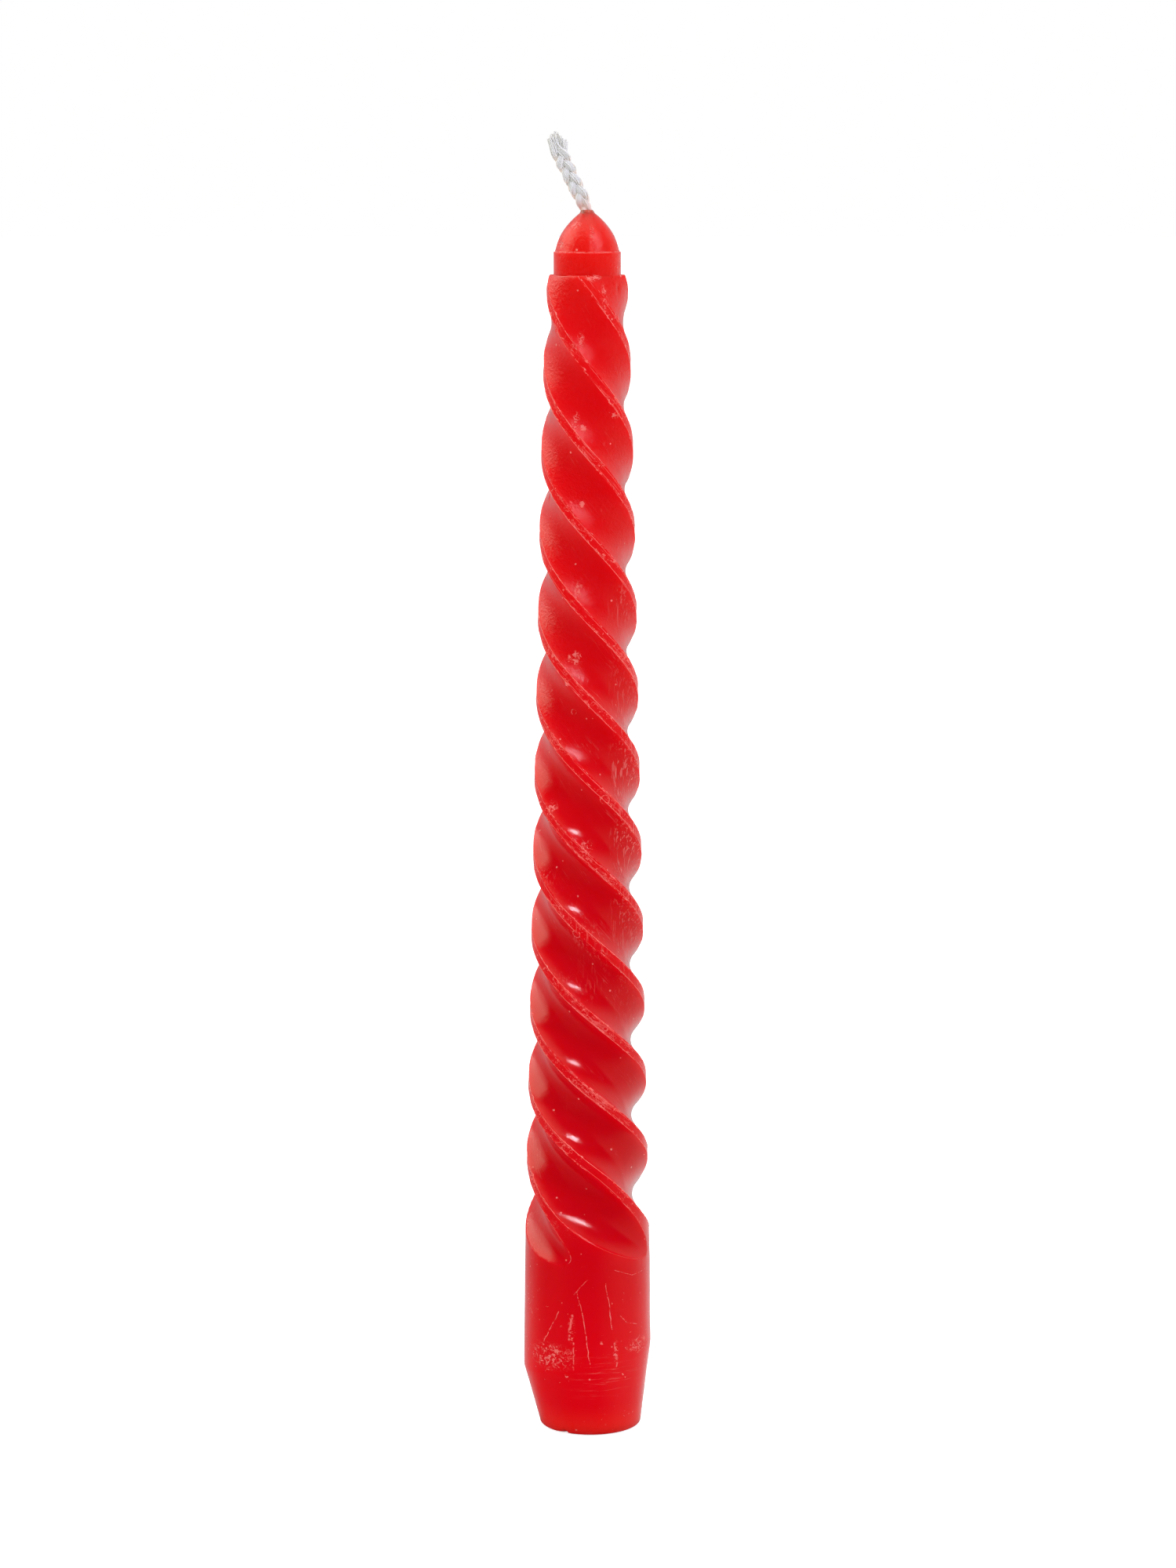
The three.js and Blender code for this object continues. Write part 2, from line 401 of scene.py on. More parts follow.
def twist_rings():
    edge = TWIST_TOP - TOP_EDGE_HEIGHT
    scooped = SHANK_TOP + FLUTE_RUN_OUT
    heights = evenly(44, SHANK_TOP, scooped)[1:] + evenly(372, scooped, edge)[1:]
    rings = [Ring(height, 0.0, twisted=1.0) for height in heights]
    for share in evenly(12)[1:]:
        angle = share * math.pi / 2
        height = edge + TOP_EDGE_HEIGHT * math.sin(angle)
        rings.append(Ring(height, 0.0, twisted=1.0, inset=TOP_EDGE_INSET * (1 - math.cos(angle))))
    return rings


def neck_rings():
    rings = [
        Ring(TWIST_TOP, COLLAR_RADIUS, twisted=twisted, inset=TOP_EDGE_INSET)
        for twisted in (0.92, 0.5, 0.12)
    ]
    heights = [TWIST_TOP + 0.06, *evenly(8, TWIST_TOP + 0.2, COLLAR_TOP - 0.1)]
    rings += [Ring(height, COLLAR_RADIUS) for height in heights]
    rings += [Ring(COLLAR_TOP - 0.02, COLLAR_RADIUS - 0.03), Ring(COLLAR_TOP, COLLAR_RADIUS - 0.1)]
    return rings


def tip_rings():
    """The dome, which flares a little where it meets the collar, its lip and the wick's channel."""
    rings = []
    flared = evenly(6, COLLAR_TOP + 0.02, COLLAR_TOP + 0.6)
    for height in [*flared, *evenly(30, COLLAR_TOP + 0.8, LIP_FOOT)]:
        rise = (height - COLLAR_TOP) / DOME_HEIGHT
        flare = DOME_FLARE * math.exp(-(height - COLLAR_TOP) / DOME_FLARE_HEIGHT)
        rings.append(Ring(height, DOME_RADIUS * (1 - rise**DOME_FULLNESS) + flare))
    for height, radius in LIP_OUTSIDE:
        rings.append(Ring(height, radius, offset=-0.1 * (height - LIP_FOOT)))
    rings.append(Ring(208.85, 0.80, offset=-0.05))
    rings += [Ring(height, radius) for height, radius in LIP_INSIDE]
    rings += [Ring(height, CHANNEL_RADIUS) for height in evenly(9, 200.0, 2.0)]
    return rings + [Ring(0.05, CHANNEL_RADIUS)]


def section_columns():
    """Columns of a flute and the land beside it: 0 in the flute or 1 on the land, and place across.

    Both are finer near the edge between them.
    """
    places = evenly(30, -1.0, 1.0)
    flute = [0.4 * place + 0.6 * math.sin(place * math.pi / 2) for place in places]
    land = (-0.9, -0.75, -0.55, -0.3, 0.0, 0.3, 0.55, 0.75, 0.9)
    return [*((0.0, across) for across in flute), *((1.0, across) for across in land)]


def turned_blank():
    """The blank's skin: rings up its outside and down the wick's channel, closed on itself.

    Its points carry the sizes that the recipe shapes them by.
    """
    rings = [*base_rings(), *butt_rings(), *twist_rings(), *neck_rings(), *tip_rings()]
    section = section_columns()
    columns = [(float(flute), *column) for flute in range(FLUTE_COUNT) for column in section]
    points = []
    marks = {}
    for ring in rings:
        for place, (flute, land, across) in enumerate(columns):
            angle = math.tau * place / len(columns)
            x = ring.radius * math.cos(angle)
            y = ring.radius * math.sin(angle)
            points.append((x, y, ring.height))
            carried = {**vars(ring), "flute": flute, "land": land, "across": across}
            for mark, value in carried.items():
                marks.setdefault(mark, []).append(value)

    faces = []
    for low in range(len(rings)):
        high = (low + 1) % len(rings)
        for place in range(len(columns)):
            beside = (place + 1) % len(columns)
            corners = [(low, place), (low, beside), (high, beside), (high, place)]
            faces.append([level * len(columns) + column for level, column in corners])
    mesh = bpy.data.meshes.new("turned_blank")
    mesh.from_pydata(points, [], faces)
    for mark, values in marks.items():
        mesh.attributes.new(mark, "FLOAT", "POINT").data.foreach_set("value", values)
    return new_object("turned_blank", mesh)


# Dents and chips: azimuth in degrees from the front towards +X, height, half width, half height
# and depth. The last four are at the back.

DENTS = [
    (-31.0, 0.1, 0.45, 0.5, 0.90),
    (-37.0, 0.0, 0.35, 0.3, 0.35),
    (-84.0, 161.0, 0.5, 0.5, 0.35),
    (-48.0, 189.2, 0.35, 0.7, 0.15),
    (60.0, 196.0, 0.30, 0.8, 0.20),
    (5.0, 198.1, 1.2, 0.3, 0.18),
    (13.0, 197.3, 0.5, 0.4, 0.12),
    (-70.0, 197.9, 0.8, 0.3, 0.08),
    (50.0, 15.6, 0.5, 0.25, 0.10),
    (-17.0, 31.8, 0.25, 0.4, 0.12),
    (79.0, 5.3, 0.3, 0.8, 0.15),
    (-65.0, 203.2, 0.9, 0.35, 0.12),
    (11.0, 203.0, 0.3, 0.7, 0.08),
    (118.0, 197.8, 0.9, 0.3, 0.15),
    (170.0, 14.0, 0.9, 0.4, 0.14),
    (205.0, 92.0, 0.5, 0.4, 0.12),
    (140.0, 0.1, 0.5, 0.3, 0.30),
]


def wax_recipe(material):
    recipe = Recipe(
        "twisted wax body",
        twist_foot=SHANK_TOP,
        twist_height=TWIST_HEIGHT,
        foot_radius=SHANK_TOP_RADIUS,
        top_radius=7.1,
        top_draw_in=0.42,
        draw_in_height=30.0,
        flute_depth_at_foot=2.87,
        flute_depth_at_top=1.15,
        flute_run_out=FLUTE_RUN_OUT,
        run_out_curve=1.35,
        run_out_lag=math.radians(12),
        lag_bottom=3.5,
        lag_top=16.5,
        land_width_at_foot=2.4,
        land_width_at_top=1.85,
        lead_at_foot=51.9,
        lead_at_top=56.4,
        first_flute=math.radians(-104.8),
        unevenness=0.10,
        burr_height=0.07,
        material=material,
    )
    tree = recipe.tree
    height = recipe.attribute("height")
    angle, radius, turn, land_radius, edge = twisted_section(recipe)

    # The same point with the twist taken out, so that a pattern can follow the flutes
    untwisted_angle = angle - turn
    untwisted_x = land_radius * untwisted_angle.cos()
    untwisted_y = land_radius * untwisted_angle.sin()
    untwisted = combine(tree, untwisted_x, untwisted_y, height)

    radius = worn_radius(recipe, angle, radius, edge, untwisted)
    x = recipe.attribute("offset") + radius * angle.cos()
    y = radius * angle.sin()
    z = height + recipe.attribute("tilt") * angle.cos()
    position = vector_sum(tree, "SCALE", combine(tree, x, y, z), MM)
    body = recipe.store(recipe.source(), "untwisted", untwisted, "FLOAT_VECTOR")
    body = recipe.store(body, "edge", edge)
    body = recipe.store(body, "fluted", recipe.attribute("twisted"))
    body = recipe.step("SetPosition", Geometry=body, Position=position)
    recipe.finish(result(tree, "GeometryNodeTriangulate", Mesh=body))
    return recipe


def twisted_section(recipe):
    """Angle, radius, turn and lands' radius at each point, and its distance from a flute's edge.

    The distance is above 0 on the land or the shank and below 0 in the flute.
    """
    size = recipe.size
    attribute = recipe.attribute
    height = attribute("height")
    across = attribute("across")
    land = attribute("land")
    twisted = attribute("twisted")
    twist_top = size("Twist foot") + size("Twist height")
    share = ((height - size("Twist foot")) / size("Twist height")).clamp()
    draw_in = size("Top draw in") * ((height - twist_top) / size("Draw in height") + 1).clamp() ** 2
    land_radius = blend(size("Foot radius"), size("Top radius"), share) - draw_in
    land_width = blend(size("Land width at foot"), size("Land width at top"), share)
    half_land = land_width / 2 / land_radius

    # Turn of the flutes: the turns per millimetre change evenly up the stretch, and the flutes
    # fall a little behind near the shank.
    per_mm_foot = size("Lead at foot") ** -1
    per_mm_top = size("Lead at top") ** -1
    turns = size("Twist height") * share * (per_mm_foot + (per_mm_top - per_mm_foot) * share / 2)
    lag = (height - size("Twist foot")).smooth(size("Lag top"), size("Lag bottom"))
    turn = size("First flute") - turns * math.tau - lag * size("Run out lag")
    centre = turn + attribute("flute") * (math.tau / FLUTE_COUNT)

    # Section of a flute, which bows evenly from its middle to the edges of the lands
    edge_angle = math.pi / FLUTE_COUNT - half_land
    depth = blend(size("Flute depth at foot"), size("Flute depth at top"), share) - draw_in
    half_width = land_radius * edge_angle.sin()
    side = half_width * across
    out = blend(land_radius - depth, land_radius * edge_angle.cos(), across * across)
    run_out = size("Flute run out")
    leaving = ((size("Twist foot") + run_out - height) / run_out).clamp()
    risen = leaving ** size("Run out curve")
    reach = (side * side + out * out).calculate("SQRT") + depth * risen
    flute_radius = reach.calculate("MINIMUM", land_radius)
    flute_angle = centre + side.calculate("ARCTAN2", out)
    land_angle = centre + half_land * across + math.pi / FLUTE_COUNT
    angle = blend(flute_angle, land_angle, land)
    section = blend(flute_radius, land_radius, land) - attribute("inset")
    radius = blend(attribute("radius"), section, twisted)

    # Kept is the share of a flute's width that is left where it runs out.
    kept = (1 - risen).calculate("MAXIMUM", 0.0).calculate("SQRT")
    past_edge = (across.size() - kept) * half_width
    on_land = (1 - across.size()) * half_land * land_radius + (1 - kept) * half_width
    return angle, radius, turn, land_radius, blend(past_edge, on_land, land)


def worn_radius(recipe, angle, radius, edge, untwisted):
    """The radius of each point with everything that shaping and handling did to the wax."""
    size = recipe.size
    attribute = recipe.attribute
    height = attribute("height")
    twisted = attribute("twisted")
    around = combine(recipe.tree, radius * angle.cos(), radius * angle.sin(), height)

    # Hand-made unevenness, which only takes wax away, and a broken burr that the flute cutter
    # raised along each edge
    skin = attribute("radius").smooth(1.6, 2.6).calculate("MAXIMUM", twisted)
    skin = skin * height.smooth(208.0, 205.0)
    wave = noise(around, 0.09, detail=1.0) + noise(untwisted, 0.35) * 0.25 - 0.80
    wave = wave.calculate("MINIMUM", 0.0)
    broken = noise(stretch(untwisted, 1.6, 1.6, 0.45), 1.0).smooth(0.42, 0.62)
    burr = edge.bell(0.03, 0.11) * broken * size("Burr height") * twisted
    radius = radius + wave * size("Unevenness") * skin * 2 + burr

    # Dents and chips
    azimuth = angle + math.pi / 2
    for degrees, at_height, half_width_mm, half_height, dent in DENTS:
        away = (azimuth - math.radians(degrees)).calculate("WRAP", math.pi, -math.pi)
        mark = (away * radius).bell(0.0, half_width_mm) * height.bell(at_height, half_height)
        radius = radius - mark * skin * dent

    # Faint rings that the cutter left on the cone of the butt
    cone = height.smooth(1.0, 3.0) * height.smooth(12.0, 10.5)
    rings = (height * 7.0 + noise(around, 0.2) * 9).sin() * noise(around, 0.25).smooth(0.5, 0.62)
    return radius - rings * cone * 0.03


# Finishes


class Finish:
    """A material with one Principled shader."""

    def __init__(self, name):
        self.material = bpy.data.materials.new(name)
        self.material.use_nodes = True
        self.tree = self.material.node_tree
        self.shader = self.tree.nodes["Principled BSDF"]

    def attribute(self, name, output="Fac"):
        node = self.tree.nodes.new("ShaderNodeAttribute")
        node.attribute_name = name
        return Field(self.tree, node.outputs[output])

    def place(self):
        """Object coordinates in millimetres."""
        node = self.tree.nodes.new("ShaderNodeTexCoord")
        return stretch(Field(self.tree, node.outputs["Object"]), 1000, 1000, 1000)

    def mix(self, share, first, second):
        first, second = (
            colour if isinstance(colour, Field) else (*colour, 1.0) for colour in (first, second)
        )
        settings = {"data_type": "RGBA"}
        return result(self.tree, "ShaderNodeMix", settings, Factor=share, A=first, B=second)

    def bump(self, height, distance):
        node = self.tree.nodes.new("ShaderNodeBump")
        node.inputs["Distance"].default_value = distance
        plug(self.tree, height, node.inputs["Height"])
        self.tree.links.new(node.outputs[0], self.shader.inputs["Normal"])

    def set(self, **inputs):
        for label, value in inputs.items():
            plug(self.tree, value, self.shader.inputs[label.replace("_", " ")])


# Red of the wax low in the twist, and the zones laid over it: the height where each starts, the
# height where it is full, and its colour. They are the upper twist, the butt, the rim of the base,
# the tip and the thin lip round the wick. The lighter upper twist, tip and thin lip are a painted
# glow, standing in for light that passes through the thinner wax; the butt and the rim are lighter
# too.
WAX_RED = (0.615, 0.0010, 0.0070)
WAX_ZONES_WITH_PAINTED_GLOW = [
    (60.0, 185.0, (0.730, 0.0034, 0.0064)),
    (34.0, 8.0, (0.730, 0.0011, 0.0080)),
    (6.0, 0.0, (0.830, 0.0150, 0.0120)),
    (186.0, 206.0, (0.750, 0.0115, 0.0085)),
    (208.1, 208.9, (0.950, 0.1100, 0.0750)),
]
WAX_FROST_AND_SPARKLE = (0.870, 0.270, 0.230)

# Scratches on the shank: azimuth and height of one end, of the other end, half width and strength.
# The last two are at the back.
SCRATCHES = [
    (-9.5, 26.0, -4.4, 22.3, 0.05, 0.6),
    (-4.4, 22.3, 2.6, 12.8, 0.07, 1.0),
    (17.1, 27.4, 20.2, 23.6, 0.05, 0.8),
    (20.2, 23.6, 22.7, 19.3, 0.06, 1.0),
    (25.5, 16.8, 27.7, 12.6, 0.10, 0.8),
    (-26.5, 22.3, -45.1, 15.8, 0.06, 0.8),
    (0.6, 28.2, -12.6, 25.5, 0.05, 0.5),
    (-14.2, 21.8, -16.7, 17.6, 0.16, 0.8),
    (-12.5, 17.0, -12.5, 12.3, 0.10, 0.7),
    (31.4, 21.4, 38.8, 20.0, 0.05, 0.7),
    (38.8, 20.0, 51.8, 19.3, 0.05, 0.7),
    (35.0, 11.0, 39.0, 10.2, 0.08, 1.0),
    (76.0, 6.6, 79.5, 4.2, 0.18, 1.0),
    (25.8, 29.6, 45.0, 28.2, 0.05, 0.5),
    (45.0, 28.2, 66.8, 28.4, 0.05, 0.5),
    (128.0, 26.0, 134.0, 15.0, 0.06, 0.9),
    (-150.0, 24.0, -128.0, 19.0, 0.06, 0.8),
]

# Scuffed places on the butt, on the tip, down the twist and at the back: azimuth, height, half
# width, half height and strength. The places down the twist at -6° to -18°, from 134 to 188 mm
# up, lie where the key lamp's highlight falls in the upper flutes: their pale crumbs are partly
# scuffing and partly painted highlight sparkle.
SCUFFS_AND_PAINTED_SPARKLE = [
    (-36.0, 14.2, 4.3, 2.2, 0.9),
    (-14.5, 19.5, 0.6, 2.4, 0.9),
    (26.7, 15.0, 0.5, 2.2, 0.9),
    (55.0, 15.6, 3.2, 1.3, 0.8),
    (-66.0, 23.0, 2.4, 6.0, 0.3),
    (12.8, 16.9, 0.3, 0.3, 1.5),
    (-19.0, 11.0, 0.5, 0.3, 1.2),

    (-58.0, 203.2, 1.6, 0.8, 0.9),
    (-38.0, 206.4, 1.2, 0.7, 0.9),
    (12.0, 205.6, 0.5, 0.9, 0.7),
    (10.0, 203.9, 0.4, 1.3, 1.0),

    (8.0, 197.9, 1.4, 0.5, 1.1),
    (26.0, 194.5, 0.7, 2.6, 0.8),
    (46.0, 191.5, 0.9, 1.6, 0.7),
    (-48.0, 189.4, 0.4, 1.6, 1.1),
    # Partly painted highlight sparkle: the places at -6° to -18° from here down lie under the key
    # lamp's highlight
    (-10.5, 187.4, 0.6, 1.4, 1.0),
    (39.3, 175.1, 0.6, 0.5, 1.1),
    (-16.0, 174.0, 0.5, 1.6, 1.1),
    (-6.0, 173.0, 0.5, 0.6, 1.5),
    (-7.6, 160.4, 0.4, 0.5, 1.3),
    (-12.0, 146.0, 0.6, 1.4, 1.0),
    (-18.0, 134.5, 1.3, 1.2, 1.0),
    (-25.4, 130.3, 0.35, 0.5, 1.8),
    (-46.0, 108.9, 0.9, 1.1, 1.2),
    (-3.0, 102.5, 1.6, 1.6, 0.7),

    (160.0, 20.0, 4.0, 3.0, 0.8),
    (-120.0, 13.5, 3.0, 1.5, 0.8),
]

# Rings left by air bubbles: azimuth, height and radius
BUBBLES = [(-11.8, 87.9, 0.70), (19.6, 110.8, 0.75), (-19.3, 125.4, 0.45), (150.0, 70.0, 0.60)]


class WaxSkin:
    """Places and patterns on the wax that its marks are worked out from."""

    def __init__(self, wax):
        self.place = wax.place()
        self.untwisted = wax.attribute("untwisted", "Vector")
        self.along = stretch(self.untwisted, 1.0, 1.0, 0.12)
        self.edge = wax.attribute("edge")
        self.fluted = wax.attribute("fluted")
        x, y, self.z = separate(self.place)
        self.azimuth = x.calculate("ARCTAN2", y * -1)
        self.radius = (x * x + y * y).calculate("SQRT")
        self.clear = self.z.smooth(34.0, 42.0)
        self.plain = self.z.smooth(32.0, 30.0)
        self.on_land = self.edge.smooth(-0.05, 0.05) * self.fluted * self.clear

        # Flecks, curls, specks and patches that the marks are broken up by
        flecked = stretch(self.place, 1.0, 1.0, 1.4)
        curled = noise(self.place, 0.75, detail=2.0, distortion=1.4) - 0.5
        specked = stretch(self.untwisted, 1.0, 1.0, 0.5)
        self.flecks = noise(flecked, 1.0, detail=4.0, roughness=0.72, distortion=0.8)
        self.curls = curled.size().smooth(0.034, 0.010)
        self.specks = noise(specked, 2.6, detail=3.0, roughness=0.7)
        self.patches = noise(self.untwisted, 0.16, detail=2.0)

    def away_from(self, degrees, height):
        """Distances round the candle and up it from a place."""
        return (self.azimuth - math.radians(degrees)) * self.radius, self.z - height


def distance(round_part, up_part):
    """Length of a step on the skin, from its parts round the candle and up it."""
    return (round_part * round_part + up_part * up_part).calculate("SQRT")


def edge_lines(skin):
    """Each flute's edge: a crisp broken line, a second ridge beside it and torn flecks."""
    wander = noise(stretch(skin.untwisted, 1.0, 1.0, 0.7), 1.4, detail=2.0) - 0.5
    stretches = noise(stretch(skin.untwisted, 1.0, 1.0, 0.3), 0.5, detail=1.0)
    crisp = skin.edge.bell(0.03, 0.055) * stretches.smooth(0.44, 0.54)
    crisp = crisp * skin.flecks.smooth(0.32, 0.50) * (skin.clear * 0.6 + 0.4)
    ridge = (skin.edge + wander * 0.2).bell(0.36, 0.05) * stretches.smooth(0.52, 0.40) * 0.6
    torn = (skin.specks + skin.patches * 0.5).smooth(0.72, 0.78)
    torn = (skin.edge + wander * 1.6).bell(0.13, 0.055) * torn
    return strongest([crisp, ridge * skin.clear, torn * skin.clear]) * skin.fluted


def land_marks(skin):
    """Scuffs and curls on the lands, streaks along the twist and a thin veil by the edges."""
    scuff = skin.on_land * (skin.specks + skin.patches * 0.6).smooth(0.92, 1.02)
    curl = skin.on_land * skin.curls * (skin.flecks + skin.patches * 0.6).smooth(0.80, 0.92)
    drag = noise(skin.along, 2.4, detail=3.0, roughness=0.65) + skin.patches * 0.4
    drag = skin.on_land * drag.smooth(0.76, 0.92)
    veil = skin.edge.bell(0.2, 0.4) * skin.patches.smooth(0.48, 0.64)
    veil = veil * skin.specks.smooth(0.35, 0.65) * skin.clear * skin.fluted
    return strongest([scuff * 0.4, curl * 0.7, drag * 0.25, veil * 0.22])


def fine_scrapes(skin):
    """Fine scrapes up and down the bulges, most on the right."""
    scrapes = noise(stretch(skin.place, 1.0, 1.0, 0.07), 2.9, detail=2.0, roughness=0.6)
    right = skin.azimuth.smooth(0.45, 0.85) * skin.azimuth.smooth(2.7, 2.1)
    handled = right * skin.z.bell(106.0, 22.0)
    elsewhere = noise(skin.place, 0.06, detail=1.0).smooth(0.60, 0.74) * 0.5
    return scrapes.smooth(0.55, 0.63) * strongest([handled, elsewhere]) * skin.fluted


def creases(skin):
    """Hair-fine creases that follow the twist, in patches."""
    crease = (noise(skin.along, 0.9, detail=2.0) - 0.5).size().smooth(0.012, 0.003)
    return crease * skin.fluted * skin.clear * skin.patches.smooth(0.5, 0.7)


def scratch_line(around, height, scratch):
    """1 on a straight scratch, on the shank unrolled flat."""
    from_azimuth, from_height, to_azimuth, to_height, half_width, strength = scratch
    start = math.radians(from_azimuth) * BUTT_RADIUS
    reach = math.radians(to_azimuth) * BUTT_RADIUS - start
    rise = to_height - from_height
    along = (around - start) * reach + (height - from_height) * rise
    share = (along / (reach**2 + rise**2)).clamp()
    away = distance(around - start - share * reach, height - from_height - share * rise)
    return away.smooth(half_width * 1.8, half_width * 0.5) * strength


def scratches(skin):
    """The scratches on the shank, made a little unsteady and broken up."""
    wobble = (noise(skin.place, 0.7, detail=2.0) - 0.5) * 0.6
    around = skin.azimuth * BUTT_RADIUS + wobble
    lines = strongest([scratch_line(around, skin.z, scratch) for scratch in SCRATCHES])
    return lines * (skin.flecks * 0.6 + skin.specks * 0.4).smooth(0.42, 0.54) * skin.plain


def pale_place(skin, scuff):
    """Falls from its strength in the middle to nothing round a listed place: a scuff, which at some
    places is partly painted highlight sparkle.
    """
    degrees, at_height, half_width, half_height, strength = scuff
    off_round, off_up = skin.away_from(degrees, at_height)
    round_share = off_round / half_width
    up_share = off_up / half_height
    away = round_share * round_share + up_share * up_share
    return (away * -1).calculate("EXPONENT") * strength


def scuffs_and_painted_sparkle(skin):
    """Pale crumbs and curls of scuffing on the listed places, and a few crumbs on the plain part.

    Some places lie under the key lamp's highlight, where the crumbs are partly painted highlight
    sparkle.
    """
    places = strongest([pale_place(skin, scuff) for scuff in SCUFFS_AND_PAINTED_SPARKLE])
    crumbs = (skin.flecks + places * 0.19).smooth(0.66, 0.72)
    crumbs = crumbs * (places * 1.5 + skin.plain * 0.6).clamp()
    curls = skin.curls * places.smooth(0.15, 0.6) * skin.flecks.smooth(0.42, 0.52)
    return strongest([crumbs, curls])


def bubble_ring(skin, bubble):
    """1 on the thin ring that a burst bubble left."""
    degrees, at_height, ring_radius = bubble
    return distance(*skin.away_from(degrees, at_height)).bell(ring_radius, 0.07)


def bubble_rings(skin):
    rings = strongest([bubble_ring(skin, bubble) for bubble in BUBBLES])
    return rings * skin.flecks.smooth(0.40, 0.55)


def dots(skin):
    """Pale pinpoints, in patches."""
    return cells(skin.place, 0.42).smooth(0.10, 0.05) * noise(skin.place, 0.5).smooth(0.45, 0.55)


def ledge_line(skin):
    """A pale broken line along the collar's upper edge."""
    return skin.z.bell(COLLAR_TOP + 0.05, 0.10) * skin.flecks.smooth(0.40, 0.55)


def tool_marks(skin):
    """Faint rings round the butt where it was turned in the trimming tool."""
    turned = noise(stretch(skin.place, 0.15, 0.15, 2.6), 1.0, detail=3.0, roughness=0.7)
    front = skin.azimuth.bell(0.35, 0.45) * skin.z.bell(11.0, 3.2)
    back = skin.azimuth.bell(-2.4, 0.7) * skin.z.bell(8.0, 3.0)
    return turned.smooth(0.54, 0.68) * (front + back)


def dyed_wax():
    """Red wax: glossy in the flutes, scuffed to a satin on the lands, the shank and the butt."""
    wax = Finish("dyed red wax")
    skin = WaxSkin(wax)
    scrape = fine_scrapes(skin)
    # Pale marks of wear, and painted highlight sparkle on some of the scuffed places in the upper
    # flutes
    frost_and_sparkle = strongest([
        edge_lines(skin),
        land_marks(skin),
        scrape * 0.5,
        creases(skin) * 0.15,
        scratches(skin) * 0.8,
        scuffs_and_painted_sparkle(skin) * 0.65,
        bubble_rings(skin) * 0.7,
        tool_marks(skin) * 0.35,
        dots(skin) * 0.8,
        ledge_line(skin) * 0.4,
    ])
    # Painted glow: the zones make the upper twist, the tip and the lip lighter, for light through
    # thinner wax
    red = WAX_RED
    for start, full, shade in WAX_ZONES_WITH_PAINTED_GLOW:
        red = wax.mix(skin.z.smooth(start, full), red, shade)
    colour = wax.mix(frost_and_sparkle, red, WAX_FROST_AND_SPARKLE)

    # Gloss: the lower flutes are polished, and the upper ones were handled until they dulled
    handled = (skin.z + noise(skin.place, 0.05, detail=1.0) * 50).smooth(136.0, 164.0)
    worn_lands = skin.on_land * (skin.patches * 0.8 + 0.2)
    satin = strongest([worn_lands, skin.plain * 0.30, handled * 0.25])
    grain = noise(skin.place, 0.7, detail=3.0)
    roughness = grain * 0.06 + satin * 0.20 + frost_and_sparkle * 0.3 + 0.09
    fine = noise(skin.along, 3.5, detail=3.0) * (satin * 0.5 + 0.1)
    pits = noise(skin.place, 2.1, detail=3.0, roughness=0.65) * (handled * 1.5 + 0.30)
    wax.bump(fine * 0.3 + frost_and_sparkle * 0.8 + grain * 0.15 + scrape * 0.8 + pits, 0.00006)
    wax.set(
        Base_Color=colour,
        Roughness=roughness,
        IOR=1.43,
        Specular_Tint=(1.0, 0.93, 0.68, 1.0),
        Subsurface_Weight=1.0,
        Subsurface_Radius=(1.0, 0.08, 0.06),
        Subsurface_Scale=0.005,
    )
    return wax.material


def wax_body():
    recipe = wax_recipe(dyed_wax())
    piece = recipe.apply(turned_blank(), "twisted_wax")
    hand_over(piece, "wax", "wax_body")


# Wick


def wick_curve(share):
    """Point and direction on the leaning part of the wick's middle line."""
    a, b, c, d = LEANING_WICK
    rest = 1 - share
    point = a * rest**3 + b * 3 * rest**2 * share + c * 3 * rest * share**2 + d * share**3
    slope = (b - a) * rest**2 + (c - b) * 2 * rest * share + (d - c) * share**2
    return point, slope.normalized()


class WickLine:
    """The wick's middle line by length: straight up the channel, then along the leaning curve."""

    def __init__(self):
        steps = 400
        self.samples = [(0.0, *wick_curve(0.0))]
        for step in range(1, steps + 1):
            point, slope = wick_curve(step / steps)
            length = self.samples[-1][0] + (point - self.samples[-1][1]).length
            self.samples.append((length, point, slope))
        self.end = BEND_START + self.samples[-1][0]

    def at(self, length):
        if length <= BEND_START:
            return Vector((0, 0, length)), Vector((0, 0, 1))
        wanted = length - BEND_START
        for before, after in zip(self.samples, self.samples[1:]):
            if after[0] >= wanted:
                share = (wanted - before[0]) / (after[0] - before[0])
                return before[1].lerp(after[1], share), before[2].lerp(after[2], share).normalized()
        return self.samples[-1][1], self.samples[-1][2]


WICK = WickLine()
PLAITED_LENGTH = WICK.end - PLAIT_START


def turns_at(station):
    """Turns of the plait up to a place on the wick, which grow evenly over its lead-in."""
    lead_in = min(max((station - PLAIT_START) / PLAIT_LEAD_IN, 0), 1)
    return (PLAIT_LEAD_IN * lead_in**2 / 2 + max(station - BEND_START, 0)) / PLAIT_PITCH


# The plait opens into a brush at the turn where its strands lie side by side.
SIXTHS = round((turns_at(WICK.end - BRUSH_LENGTH / 2) + PLAIT_PHASE / math.tau) * 6)
BRUSH_PHASE = math.tau * SIXTHS / 6


def smoothed(share):
    """The share with an even curve at both ends, kept between 0 and 1."""
    share = min(max(share, 0), 1)
    return share * share * (3 - 2 * share)


def brush_opened(station):
    """How far the plait has opened into its brush, from 0 to 1."""
    return smoothed((station - WICK.end) / BRUSH_LENGTH + 1)


def plait_phase(strand, station):
    """Where a strand is on the figure of eight that the plait's strands follow."""
    plaited = PLAIT_PHASE + math.tau * turns_at(station)
    return blend(plaited, BRUSH_PHASE, brush_opened(station)) + math.tau * strand / STRAND_COUNT


def side_in_brush(strand):
    """Where the strand ends across the brush, with the leaning side below 0."""
    return (1 + BRUSH_SPREAD) * PLAIT_HALF_WIDTH * math.sin(plait_phase(strand, WICK.end))


